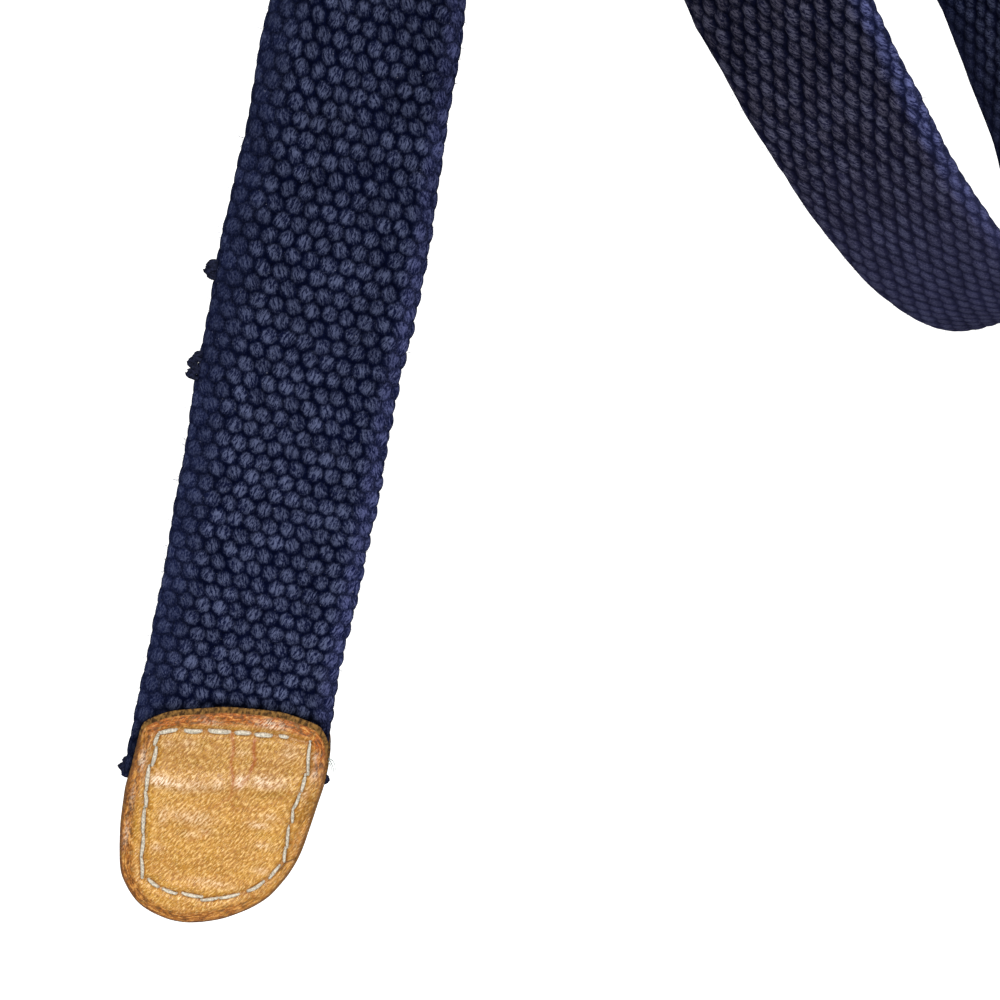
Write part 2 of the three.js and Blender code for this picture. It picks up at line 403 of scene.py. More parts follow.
def weave(around, along, lean):
    """Height of the yarn bumps from 0 to 1, the place across and along each yarn, and its own chance."""
    # Slow waves that bend the columns sideways and crowd their yarns
    bent = 0.06 * np.sin(2.9 * along + 1.7 * around + 2 * np.sin(0.9 * around))
    bent += 0.05 * np.sin(5.3 * around - 3.1 * along)
    drawn = 0.07 * np.sin(2.3 * around - 1.1 * along + 1.5 * np.sin(0.6 * along))
    drawn += 0.05 * np.sin(4.7 * along + 2.6 * around)
    best = np.zeros(around.shape)
    over, down, luck = (np.zeros(around.shape) for _ in range(3))
    middle = np.round(around / COLUMN_PITCH)
    for step in (-1, 0, 1):
        column = middle + step
        shift = np.mod(column, 2)
        row = np.round((along / ROW_PITCH - shift) / 2)
        key = np.mod(column, COLUMNS_AROUND)
        own = chance(key, row)
        aside = (COLUMN_STRAY + CHAIN_STRAY * lean) * (chance(row, key, 3) - 0.5)
        x = around - (column + aside) * COLUMN_PITCH + bent
        y = along - (2 * row + shift + ROW_STRAY * (chance(key, row, 7) - 0.5)) * ROW_PITCH + drawn
        slant = SLANT_STRAY * (chance(key, row, 11) - 0.4) * (1 - 0.6 * lean) - CHAIN_SLANT * lean
        wide = BUMP_HALF_WIDTH * (0.9 + WIDTH_STRAY * chance(row, key, 5)) * (1 - CHAIN_SLIMMER * lean)
        tall = BUMP_HALF_LENGTH * (1 + CHAIN_LONGER * lean)
        far = np.abs((x + slant * y) / wide) ** BUMP_POINTED + np.abs(y / tall) ** BUMP_POINTED
        height = np.clip(1 - far, 0, 1) ** BUMP_DOME * (0.93 + 0.12 * own)
        turn = np.where(own > 0.4, -0.25, 0.35) * (1 - lean) + (0.5 + 0.35 * own) * lean
        nearer = height > best
        best = np.where(nearer, height, best)
        over = np.where(nearer, x * np.cos(turn) + y * np.sin(turn), over)
        down = np.where(nearer, y * np.cos(turn) - x * np.sin(turn), down)
        luck = np.where(nearer, own, luck)
    return best, over, down, luck


def row_places(start, stop, per_row):
    count = max(2, round((stop - start) / ROW_PITCH * per_row))
    return np.linspace(start, stop, count + 1)


def course(distance):
    """The values of the web's course at each distance, in the table's order."""
    table = np.array(WEB_COURSE, float)
    return [np.interp(distance, table[:, 0], table[:, i]) for i in range(1, 8)]


def closed(line):
    return np.concatenate([line, line[:1]])


def web_piece(name, start, stop, per_row, face_cells, back_cells, material):
    """A closed stretch of woven web, with so many cells to a row, and to a column on face and back."""
    around = []
    half = COLUMNS_AROUND // 4
    for column in range(-half + 1, COLUMNS_AROUND - half + 1):
        cells = face_cells if abs(column) <= half else back_cells
        around += [(column - 0.5 + i / cells) * COLUMN_PITCH for i in range(cells)]
    q, s = np.meshgrid(np.array(around), row_places(start, stop, per_row))
    shift, drawn_in, cup, tone, selvedge, lean, soft = course(s)
    rise, over, down, luck = weave(q, s, lean)
    u, d, nu, nd = on_section(q)
    edge = smooth(np.abs(nu), 0.15, 0.8)
    rim = smooth(np.abs(u) - WEB_WIDTH / 2, -SELVEDGE_COLUMNS * COLUMN_PITCH, -0.3 * COLUMN_PITCH)
    left_reach = LEFT_SELVEDGE + (LEFT_CHAIN_SELVEDGE - LEFT_SELVEDGE) * lean
    reach = np.where(u > 0, selvedge, left_reach)
    wander = 0.16 * np.sin(s * 0.11 + np.sign(u)) + 0.1 * np.sin(s * 0.31 + 2 * np.sign(u))
    pressed = (1 - np.where(u > 0, 0.3, 0.3 + 0.5 * lean) * rim) * (1 - SOFT_FLATTER * soft)
    pressed *= 1 + CHAIN_FULLER * lean
    face_lift = BUMP_BASE + rise * BUMP_RISE * pressed + SOFT_FILL * soft
    edge_lift = SELVEDGE_BASE + rise * SELVEDGE_RISE * reach / 0.8 + wander
    lift = face_lift + (edge_lift - face_lift) * edge
    share = u / (WEB_WIDTH / 2)
    u = (u + nu * lift) * (1 - 2 * drawn_in / WEB_WIDTH) + shift
    d = d + nd * lift - cup * share**4
    near = s < TIP_LAP + 6
    from_tip = to_line(np.stack([u, TIP_LAP - s], axis=-1)[near], closed(tip_outline(80)))
    # Painted shadow: the web is darkened close to the leather tip's outline
    tip_shadow = np.zeros(q.shape)
    tip_shadow[near] = 1 - smooth(from_tip, 0.2, TIP_SHADOW_REACH)
    s = s + END_SKEW * u * (1 - smooth(s, 0, END_SKEW_REACH))
    rows, wide = q.shape
    index, faces = ring_faces(rows, wide)
    flat = on_web(s, u, d).reshape(-1, 3)
    ends = np.concatenate([flat[index[0]], flat[index[-1]]])
    caps = [
        (len(flat) + np.arange(wide)).tolist(),
        (len(flat) + wide + np.arange(wide))[::-1].tolist(),
    ]
    behind = 1 - smooth(nd, -0.4, 0.4)
    tone = tone * (1 - TIP_SHADOW_DARKER * tip_shadow)
    values = dict(rise=rise, over=over, down=down, luck=luck, rim=rim, side=share, soft=soft)
    values.update(behind=behind, tone=tone, around=q, along=s)
    values = {
        key: np.concatenate([value.ravel(), value[0], value[-1]]) for key, value in values.items()
    }
    values["cap"] = np.concatenate([np.zeros(rows * wide), np.ones(2 * wide)])
    bake = np.stack([
        (values["around"] / ROUND[-1] + 0.26) * 0.98,
        (values["along"] - start) / (stop - start) * 0.94 + 0.03,
    ], axis=-1)
    return mesh_object(name, np.concatenate([flat, ends]), faces.tolist() + caps, material, values, bake)


# Stitches on the front of the tip, clockwise from its upper left: one end across and down from
# the tip's top, the other end, and the thread's half thickness
TIP_STITCHES = [
    (-12.3, 7.8, -9.4, 6.5, 0.37),
    (-7.8, 6.3, -5, 5.8, 0.4),
    (-3.5, 5.4, 0.1, 4.9, 0.43),
    (1.3, 4.8, 3.7, 4.4, 0.44),
    (4.9, 4.4, 7.6, 4, 0.43),
    (9.2, 3.7, 10.6, 3.7, 0.35),
    (14.8, 4, 15.5, 9.8, 0.3),
    (15.1, 10.5, 15, 13.4, 0.32),
    (14.7, 14.5, 14.1, 17.6, 0.3),
    (14.1, 18.1, 14.4, 20.4, 0.29),
    (13.9, 21.8, 14.3, 26, 0.3),
    (14.1, 26.6, 14.3, 29.2, 0.3),
    (13.5, 30.6, 12.3, 33.2, 0.31),
    (11.1, 34.5, 8.9, 36.7, 0.34),
    (6.9, 38, 4.1, 39.3, 0.31),
    (3.2, 39.6, 0.7, 40.5, 0.3),
    (0.3, 39.9, -2.9, 39.9, 0.33),
    (-4.5, 40.2, -6.7, 39.8, 0.33),
    (-8, 39.5, -9.7, 38.5, 0.34),
    (-11.1, 38.1, -11.8, 34.4, 0.33),
    (-11.9, 33.8, -12.1, 29.4, 0.33),
    (-12.3, 28.4, -12.7, 23.7, 0.34),
    (-12.5, 22.8, -13, 20.1, 0.34),
    (-12.9, 19.2, -13.1, 15, 0.35),
    (-12.6, 14.2, -12.4, 11, 0.36),
    (-12.8, 10.1, -12.5, 8.3, 0.35),
]


def closed_smooth(points, count):
    """Places evenly spaced round a smooth closed line through the points."""
    before, after, later = (np.roll(points, shift, axis=0) for shift in (1, -1, -2))
    fine = []
    for t in np.linspace(0, 1, 12, endpoint=False):
        fine.append(0.5 * (
            2 * points
            + (after - before) * t
            + (2 * before - 5 * points + 4 * after - later) * t * t
            + (3 * points - before - 3 * after + later) * t**3
        ))
    line = closed(np.stack(fine, axis=1).reshape(-1, 2))
    run = run_along(line)
    even = np.linspace(0, run[-1], count, endpoint=False)
    return np.stack([np.interp(even, run, line[:, i]) for i in range(2)], axis=-1)


def tip_outline(count):
    """The tip's outline; the pressed leather spreads a little at its left side and foot."""
    rows = np.array(TIP_OUTLINE)
    left, right = (rows[:, [edge, 0]] * [WEB_WIDTH, TIP_LENGTH] for edge in (1, 2))
    line = closed_smooth(np.concatenate([right, left[::-1]]), count)
    line[:, 0] -= TIP_SPREAD * smooth(-line[:, 0], 0, 12) * smooth(line[:, 1], 6, 30)
    line[:, 1] += TIP_SPREAD * 0.6 * smooth(line[:, 1], 30, 44)
    return line


def to_line(places, line):
    """Distance of each place from a line through the given corners."""
    best = np.full(len(places), 1e9)
    for a, b in zip(line[:-1], line[1:]):
        run = b - a
        share = np.clip(((places - a) @ run) / max(run @ run, 1e-9), 0, 1)
        best = np.minimum(best, np.linalg.norm(places - a - share[:, None] * run, axis=1))
    return best


def seam_line():
    """The closed line that the stitches follow."""
    return closed(np.array(TIP_STITCHES)[:, :4].reshape(-1, 2))


# Painted highlights where the leather would catch the light: across, down, reach each way, how much
PAINTED_HIGHLIGHTS = [
    (-10.8, 17, 1.7, 1.1, 1.5),
    (-7.6, 17.3, 2.4, 1.2, 0.8),
    (-3.4, 16.5, 2.2, 1.1, 0.5),
    (-0.2, 15.3, 1.2, 1.3, 0.55),
    (3.6, 14.2, 0.9, 1.3, 1.2),
    (7.8, 13.4, 2, 1.2, 0.85),
    (11.2, 12.9, 1.3, 1, 0.35),
    (-9.1, 24.2, 0.8, 2.2, 0.5),
    (-5.8, 23.4, 2.6, 1.5, 0.4),
    (-1.8, 23.3, 2.6, 1.5, 0.4),
    (-3.6, 27.2, 1.5, 0.8, 0.4),
    (-1, 25.9, 1.5, 0.8, 0.4),
    (8.5, 22.4, 1.8, 0.8, 0.7),
    (10, 20.2, 1.4, 0.9, 0.5),
    (9.9, 26.6, 1.7, 0.8, 0.5),
    (-9.2, 31, 1.2, 0.9, 0.45),
    (10.6, 32, 1.6, 0.7, 0.55),
    (1.3, 36.6, 3.8, 0.8, 0.5),
    (-6.5, 8.6, 1.6, 1, 0.35),
    (2.6, 8.4, 1.6, 1, 0.3),
    (7.4, 1.8, 2.4, 0.7, 1),
    (-3.5, 3.6, 2, 0.6, 0.35),
    (-14.5, 13.6, 0.6, 1.9, 0.9),
    (-15.2, 21.5, 0.5, 2.6, 0.5),
    (-15.4, 30, 0.5, 2.6, 0.6),
    (16.6, 10, 0.7, 1, 0.8),
    (15.6, 14, 0.6, 1.4, 0.55),
    (16.2, 6.6, 0.7, 1, 0.6),
    (-10.5, 9.4, 1.2, 0.8, 0.35),
    (11.6, 6.6, 1.4, 1.6, 0.35),
]
BRIGHTEST_HIGHLIGHT = 1.6

# Soft swellings of the leather: place across and down, reach across and down, height
SWELLS = [
    (7.6, 1.9, 2.6, 0.9, 0.3),
    (-1.5, 3.2, 2.4, 0.7, 0.12),
    (-14.6, 14, 0.7, 2.2, 0.16),
    (-15, 21, 0.8, 3, 0.12),
    (15.9, 12.6, 0.7, 1.6, 0.16),
    (-9, 17.1, 3, 1.1, 0.12),
    (5.6, 14.6, 1.2, 1.1, 0.1),
    (9.2, 14, 1.4, 1, 0.1),
    (9.6, 23, 1.6, 1, 0.12),
    (9.4, 26.8, 1.6, 0.9, 0.1),
    (-6.5, 24.4, 2.6, 0.9, 0.08),
    (-2, 24.4, 2.4, 0.9, 0.08),
    (-2.4, 27.4, 2, 0.8, 0.06),
    (-4, 33.6, 3.2, 1.1, 0.08),
    (5, 32.6, 3, 1.2, 0.08),
]

# Creases of the leather: how strong each is, and the places across and down that it runs through
CREASES = [
    (0.8, [(0.7, 5.3), (1.5, 8), (1.4, 11), (2.6, 14.5)]),
    (0.45, [(2.6, 14.5), (2.4, 18), (3.9, 21)]),
    (1, [(4.9, 5.4), (5, 7.5), (5.6, 9.3), (5.2, 11.6)]),
    (0.45, [(5.2, 11.6), (4.7, 13.4), (3.3, 15.6)]),
    (0.25, [(4, 19.6), (9, 18.6)]),
    (0.35, [(3.3, 16.2), (1.5, 18.6), (-0.4, 20.6)]),
    (0.2, [(13.2, 14), (9.2, 18.2)]),
    (0.3, [(-3.9, 28.6), (-1.6, 27.4), (-0.6, 25.7)]),
    (0.2, [(-5.8, 36.9), (-0.4, 36.2), (5.4, 34.2)]),
]
CREASE_WIDTH = 0.34
CREASE_DEPTH = 0.09
CRACK = [(13.4, 31.8), (14, 31.1), (14.6, 29.6), (16.4, 28.5)]
CRACK_WIDTH = 0.16
CRACK_DEPTH = 0.3

# Ridge over the web's end and the dip above it, then waves below it: place below the ridge,
# height and width
RIDGES = [(0, 0.32, 1.5), (-3.2, -0.16, 1.9)]
WAVES = [(7.3, 0.09, 1.1), (10.6, -0.09, 1.4), (15.5, 0.08, 1.2), (19.5, -0.08, 1.5)]

# The seam's groove and the welt on each side of it
SEAM_DEPTH = 0.42
SEAM_WIDTH = 0.62
WELT_HEIGHT = 0.12
WELT_PLACE = 1.5
WELT_WIDTH = 0.8

# Width of the rim's bevel, and how much wider it is at the top
BEVEL = 0.42
TOP_BEVEL = 0.2

# Side of the leather's rim: share of the way to its inner face, and how far it stands out
RIM_SIDE = [(0.25, 0.14), (0.55, 0.18), (0.85, 0.1), (1, 0)]

# Distance between the web's end and the place where the leather starts to close
END_INSET = 1.4


def hump(value, width):
    """1 where the value is zero, falling off smoothly over the width."""
    return np.exp(-((value / width) ** 2))


def leather_inside(across, down, from_rim):
    """Depth of the leather's inner face; past the web's end it closes sooner at its rim."""
    open_depth, shut_depth = WEB_THICK / 2 + CLEARANCE, CLEARANCE / 2
    end = TIP_LAP - END_INSET - END_SKEW * across
    close = TIP_CLOSE + (MIDDLE_CLOSE - TIP_CLOSE) * smooth(from_rim, 0, 6)
    return open_depth + (shut_depth - open_depth) * smooth((down - end - 0.5) / close, 0, 1)


def leather_depth(across, down, from_rim):
    """Height of the front leather's outer face over the web's middle, and marks for its colour."""
    places = np.stack([across, down], axis=-1)
    end = TIP_LAP - END_INSET - END_SKEW * across
    inner = leather_inside(across, down, from_rim)
    thick = LEATHER_THICK * (TIP_RIM + (1 - TIP_RIM) * smooth(from_rim, 0, RIM_WIDTH))
    depth = inner + thick
    inside = smooth(from_rim, 2, 5)
    ridge = down - end - 0.6
    for place, height, wide in RIDGES:
        depth += inside * height * hump(ridge - place, wide)
    for place, height, wide in WAVES:
        wave = hump(ridge - place - 0.35 * np.sin(across * 0.5 + place), wide)
        depth += inside * height * wave * (0.7 + 0.3 * np.sin(across * 0.35 + place * 2))
    depth += inside * 0.05 * np.sin(across * 0.9 + down * 0.4) * np.sin(down * 0.7 - across * 0.25)
    for x, y, wide, tall, height in SWELLS:
        depth += height * hump(across - x, wide) * hump(down - y, tall)
    seam = to_line(places, seam_line())
    depth += WELT_HEIGHT * hump(seam - WELT_PLACE, WELT_WIDTH) - SEAM_DEPTH * hump(seam, SEAM_WIDTH)
    crease = np.zeros(len(depth))
    for strength, line in CREASES:
        crease = np.maximum(crease, strength * hump(to_line(places, np.array(line)), CREASE_WIDTH))
    # Painted highlights, summed from the table and capped
    painted_highlight = np.zeros(len(depth))
    for x, y, wide, tall, share in PAINTED_HIGHLIGHTS:
        painted_highlight += share * hump(across - x, wide) * hump(down - y, tall)
    crack = hump(to_line(places, np.array(CRACK)), CRACK_WIDTH)
    depth -= CREASE_DEPTH * crease + CRACK_DEPTH * crack
    top = smooth(-down - 0.12 * across, -9, -3)
    bevel = BEVEL + TOP_BEVEL * top
    depth -= (0.35 + 0.35 * top) * (1 - smooth(from_rim, 0, bevel)) * LEATHER_THICK * 0.6
    raw = (1 - smooth(from_rim, bevel * 0.55, bevel * 1.15)) * (0.35 + 0.65 * top)
    painted_highlight = np.minimum(painted_highlight, BRIGHTEST_HIGHLIGHT)
    return depth, dict(seam=seam, crease=crease, crack=crack, painted_highlight=painted_highlight, raw=raw, from_rim=from_rim)


def tip_places(across, down, depth, side):
    """Points on the tip from across and down its face and depth from the web's middle."""
    return on_web(TIP_LAP - down, across, side * depth)


def leather_piece(name, side, count, rings, material):
    outline = tip_outline(count)
    centre = np.array([0, TIP_LENGTH * 0.48])
    reach = np.concatenate([[0.02], 1 - (1 - np.linspace(0.05, 1, rings)) ** 1.25])
    grid = centre + (outline - centre)[None] * reach[:, None, None]
    flat = grid.reshape(-1, 2)
    from_rim = to_line(flat, closed(outline))
    from_rim[-count:] = 0
    depth, marks = leather_depth(*flat.T, from_rim)
    inner = leather_inside(*flat.T, from_rim)
    blocks, depths = [flat], [depth]
    rim_top, rim_foot = depth[-count:], inner[-count:]
    for share, out in RIM_SIDE:
        edge = outline + unit(outline - centre) * out
        blocks.append(edge)
        depths.append(rim_top + (rim_foot - rim_top) * share)
    step = max(1, rings // 12)
    for i in range(rings - step, -1, -step):
        blocks.append(grid[i])
        depths.append(inner[i * count:(i + 1) * count])
    ring_count = len(blocks) - 1 + len(reach)
    across_down = np.concatenate(blocks)
    deep = np.concatenate(depths)
    points = tip_places(*across_down.T, deep, side)
    index, faces = ring_faces(ring_count, count)
    caps = [index[0], index[-1][::-1]]
    if side < 0:
        faces = faces[:, ::-1]
        caps = [cap[::-1] for cap in caps]
    extra = (ring_count - len(reach)) * count
    fill = {"seam": 9, "raw": 1}
    values = {key: np.concatenate([marks[key], np.full(extra, fill.get(key, 0))]) for key in marks}
    values["across"], values["down"] = across_down.T
    bake = across_down / [2.2 * WEB_WIDTH, 1.1 * TIP_LENGTH] + [0.25, 0.04]
    bake[len(flat):, 0] += 0.5
    return mesh_object(
        name, points, faces.tolist() + [cap.tolist() for cap in caps], material, values, bake
    )


# A direction that no thread or fibre runs along
OFF_LINE = (0.31, 0.2, 0.93)


def tube(line, radii, sides=6):
    """Points and faces of a closed round tube along a line of points, with the radius at each."""
    line = np.asarray(line, float)
    run = unit(np.gradient(line, axis=0))
    side = unit(np.cross(run, OFF_LINE))
    other = np.cross(run, side)
    angles = np.arange(sides) * 2 * math.pi / sides
    ring = side[:, None] * np.cos(angles)[None, :, None] + other[:, None] * np.sin(angles)[None, :, None]
    points = (line[:, None] + ring * np.asarray(radii, float)[:, None, None]).reshape(-1, 3)
    index = np.arange(len(line) * sides).reshape(len(line), sides)
    after = np.roll(index, -1, axis=1)
    faces = np.stack([index[:-1], after[:-1], after[1:], index[1:]], axis=-1).reshape(-1, 4).tolist()
    faces += [index[0][::-1].tolist(), index[-1].tolist()]
    return points, faces


def joined(name, parts, material):
    points, faces, start = [], [], 0
    for part_points, part_faces in parts:
        points.append(part_points)
        faces += [[i + start for i in face] for face in part_faces]
        start += len(part_points)
    return mesh_object(name, np.concatenate(points), faces, material)


# How many stitches make the top row. Then, as shares of a stitch's length: how far past its ends
# it shows there and elsewhere, how far past them it is built, and the stretch over which it sinks
TOP_STITCHES = 6
TOP_SPARE = -0.04
SIDE_SPARE = 0.05
STITCH_PAST = 0.15
STITCH_EASE = 0.09

# Height of a stitch over the leather, how deep its ends sink and how far it bows to a side
STITCH_LIFT = 0.3
STITCH_SINK = 1.3
STITCH_BOW = 0.3


def tip_stitches(side, material, name):
    ring = closed(tip_outline(200))
    parts = []
    for number, row in enumerate(TIP_STITCHES):
        a, b = np.array(row[:2]), np.array(row[2:4])
        t = np.linspace(-STITCH_PAST, 1 + STITCH_PAST, 17)
        places = a + (b - a) * t[:, None]
        bow = (chance(number, 4) - 0.5) * STITCH_BOW
        normal = unit(np.array([a[1] - b[1], b[0] - a[0]]))
        places = places + normal * (bow * np.sin(np.clip(t, 0, 1) * math.pi))[:, None]
        depth, _ = leather_depth(*places.T, to_line(places, ring))
        spare = TOP_SPARE if number < TOP_STITCHES else SIDE_SPARE
        past = smooth(-t, spare, spare + STITCH_EASE) + smooth(t - 1, spare, spare + STITCH_EASE)
        sunk = depth.mean() * 0.4 + depth * 0.6 + STITCH_LIFT - STITCH_SINK * past
        slim = row[4] * (0.84 + 0.28 * np.sin(np.clip(t, 0, 1) * math.pi))
        parts.append(tube(tip_places(*places.T, sunk, side), slim, 8))
    return joined(name, parts, material)


# Knots of pulled yarn on the selvedges, each of a few bent strands: distance along the web, side,
# reach out from the selvedge, half height and place through the web's thickness
YARN_NUBS = [
    (94.7, -1, 0.5, 0.5, 0.3),
    (94, -1, 0.8, 0.6, -0.3),
    (93.3, -1, 1.1, 0.6, 0.2),
    (92.7, -1, 0.5, 0.5, 0),
    (78.3, -1, 0.35, 0.6, 0.2),
    (77, -1, 1.2, 0.9, 0),
    (75.2, -1, 1.15, 0.6, 0.3),
    (0.5, -1, 0.9, 0.9, 0),
    (-1, -1, 1.6, 0.8, 0.3),
    (-2.2, -1, 1, 0.7, -0.3),
    (7, 1, 0.9, 1, 0),
    (4.6, 1, 1.95, 1.1, 0.2),
]
NUB_STRANDS = 5
NUB_RADIUS = 0.52
NUB_ROOT = 0.8


def nub_parts():
    parts = []
    t = np.linspace(0, 1, 9)
    for number, (distance, side, reach, tall, deep) in enumerate(YARN_NUBS):
        for strand in range(NUB_STRANDS):
            lot = [chance(number, strand, key) for key in range(4)]
            out = (reach * (0.12 + 0.22 * strand) + NUB_ROOT) * np.sin(t * math.pi) ** 0.7 - NUB_ROOT
            up = tall * (0.7 + 0.4 * lot[0]) * np.cos(t * math.pi) + 0.3 * (lot[1] - 0.5)
            depth = deep + 0.8 * (lot[2] - 0.5) + 0.4 * (lot[3] - 0.5) * np.cos(t * 4)
            line = on_web(distance + up, side * (WEB_WIDTH / 2 - 0.3 + out), depth)
            parts.append(tube(line, NUB_RADIUS - 0.16 * np.abs(2 * t - 1), 7))
    return parts


# Stretches where loose fibres are built: from, to, how many
FUZZ = [(8, 150, 330), (232, 365, 170), (395, 445, 40)]
FIBRE_RADIUS = 0.035
FIBRE_LENGTHS = (0.7, 2.2)
FIBRES_ON_EDGE = 0.62


def fuzz_parts():
    """Short loose cotton fibres that stand off the selvedges and, sparser, off the faces."""
    rng = np.random.default_rng(11)
    parts = []
    for start, stop, count in FUZZ:
        for _ in range(count):
            s0 = rng.uniform(start, stop)
            on_edge = rng.random() < FIBRES_ON_EDGE
            q0 = ROUND[-1] / 4 * rng.choice([-1, 1]) + rng.normal(0, 1.1)
            if not on_edge:
                q0 = rng.uniform(0, ROUND[-1])
            u, d, nu, nd = (value[0] for value in on_section(np.array([q0])))
            shift, drawn_in, cup = course(s0)[:3]
            u = u * (1 - 2 * drawn_in / WEB_WIDTH) + shift
            d -= cup * (u / (WEB_WIDTH / 2)) ** 4
            length = rng.uniform(*FIBRE_LENGTHS)
            t = np.linspace(0, 1, 6)
            rise = (0.45 + 0.4 * rng.random()) * length * np.sin(t * rng.uniform(1.3, 2.8)) - 0.3
            slide = rng.uniform(-1, 1) * length * t + rng.uniform(-0.4, 0.4) * np.sin(t * 5)
            line = on_web(s0 + slide, u + nu * rise, d + nd * rise)
            parts.append(tube(line, FIBRE_RADIUS * (1.15 - 0.8 * t), 3))
    return parts


# Strands of the frayed thread: reach out, place down the tip and sag
WISPS = [(1.5, 7.2, 2.6), (1, 7.7, 1.5), (1.8, 6.9, 1.9)]
WISP_START = 18.6
WISP_RADIUS = 0.1


def wisp_parts():
    """A frayed end of the seam thread beside the tip's right edge."""
    parts = []
    t = np.linspace(0, 1, 10)
    for strand, (out, top, sag) in enumerate(WISPS):
        across = WISP_START + out * t**0.8
        down = top + sag * t**1.6 + 0.15 * np.sin(t * 5 + strand)
        line = tip_places(across, down, 1.6 + 0.3 * t * strand, 1)
        parts.append(tube(line, WISP_RADIUS * (1.2 - 0.7 * t), 5))
    return parts


FOLD_STITCH = 2.4
FOLD_STITCH_PITCH = 3.3
FOLD_SEAM_INSET = 3.2
FOLD_ROW_INSET = 3
FOLD_THREAD = 0.36


def fold_sewing(tail):
    """Two rows of stitches across the flap and one along each side of it, seen on both of its faces."""
    end = DISTANCE[-1]
    flap = end - FLAP_LENGTH
    half = WEB_WIDTH / 2 - FOLD_SEAM_INSET
    runs = []
    for distance in (flap + FOLD_ROW_INSET, end - FOLD_ROW_INSET):
        for a in np.arange(-half, half - 2, FOLD_STITCH_PITCH):
            runs.append(((distance, a), (distance, a + FOLD_STITCH)))
    for across in (-half, half):
        for a in np.arange(flap + FOLD_ROW_INSET, end - 5, FOLD_STITCH_PITCH):
            runs.append(((a, across), (a + FOLD_STITCH, across)))
    parts = []
    t = np.linspace(0, 1, 9)
    for a, b in runs:
        s = a[0] + (b[0] - a[0]) * t
        u = a[1] + (b[1] - a[1]) * t
        over = WEB_THICK / 2 + 0.12 - 0.75 * np.abs(2 * t - 1) ** 4
        for place in (s, tail + flap - 1.5 - s):
            parts.append(tube(on_web(place, u, -over), np.full(len(t), FOLD_THREAD)))
    return parts


class Nodes:
    """A short way to build a material's node tree."""

    def __init__(self, name):
        self.material = bpy.data.materials.new(name)
        self.material.use_nodes = True
        self.tree = self.material.node_tree
        self.tree.nodes.clear()
        self.shader = self.add("ShaderNodeBsdfPrincipled")
        output = self.add("ShaderNodeOutputMaterial")
        self.link(self.shader.outputs["BSDF"], output.inputs["Surface"])

    def add(self, kind, **settings):
        node = self.tree.nodes.new(kind)
        for key, value in settings.items():
            setattr(node, key, value)
        return node

    def link(self, start, stop):
        self.tree.links.new(start, stop)

    def put(self, socket, value):
        if isinstance(value, bpy.types.NodeSocket):
            self.link(value, socket)
        else:
            socket.default_value = value

    def surface(self, settings):
        for name, value in settings.items():
            self.put(self.shader.inputs[name], value)
        return self.material

    def values(self, *names):
        return [self.add("ShaderNodeAttribute", attribute_name=name).outputs["Fac"] for name in names]

    def math(self, operation, first, second=0.0, third=0.0):
        node = self.add("ShaderNodeMath", operation=operation)
        for socket, value in zip(node.inputs, (first, second, third)):
            self.put(socket, value)
        return node.outputs[0]

    def times(self, first, second):
        return self.math("MULTIPLY", first, second)

    def linear(self, value, factor, added):
        return self.math("MULTIPLY_ADD", value, factor, added)

    def ramp(self, value, low, high, start=0.0, stop=1.0):
        node = self.add("ShaderNodeMapRange", interpolation_type="SMOOTHSTEP")
        for socket, given in zip(node.inputs, (value, low, high, start, stop)):
            self.put(socket, given)
        return node.outputs[0]

    def mix(self, share, first, second):
        node = self.add("ShaderNodeMix", data_type="RGBA")
        self.put(node.inputs[0], share)
        self.put(node.inputs[6], first)
        self.put(node.inputs[7], second)
        return node.outputs[2]

    def scaled(self, colour, factor):
        node = self.add("ShaderNodeVectorMath", operation="SCALE")
        self.put(node.inputs[0], colour)
        self.put(node.inputs["Scale"], factor)
        return node.outputs[0]

    def place(self, x, y, z=0.0):
        node = self.add("ShaderNodeCombineXYZ")
        for socket, value in zip(node.inputs, (x, y, z)):
            self.put(socket, value)
        return node.outputs[0]

    def noise(self, place, scale, detail=2.0, rough=0.5, distortion=0.0):
        node = self.add("ShaderNodeTexNoise")
        self.put(node.inputs["Vector"], place)
        settings = {"Scale": scale, "Detail": detail, "Roughness": rough, "Distortion": distortion}
        for name, value in settings.items():
            self.put(node.inputs[name], value)
        return node.outputs["Fac"]

    def bump(self, height, distance, strength=1.0, normal=None):
        node = self.add("ShaderNodeBump")
        for name, value in (("Strength", strength), ("Distance", distance), ("Height", height)):
            self.put(node.inputs[name], value)
        if normal is not None:
            self.link(normal, node.inputs["Normal"])
        return node.outputs["Normal"]


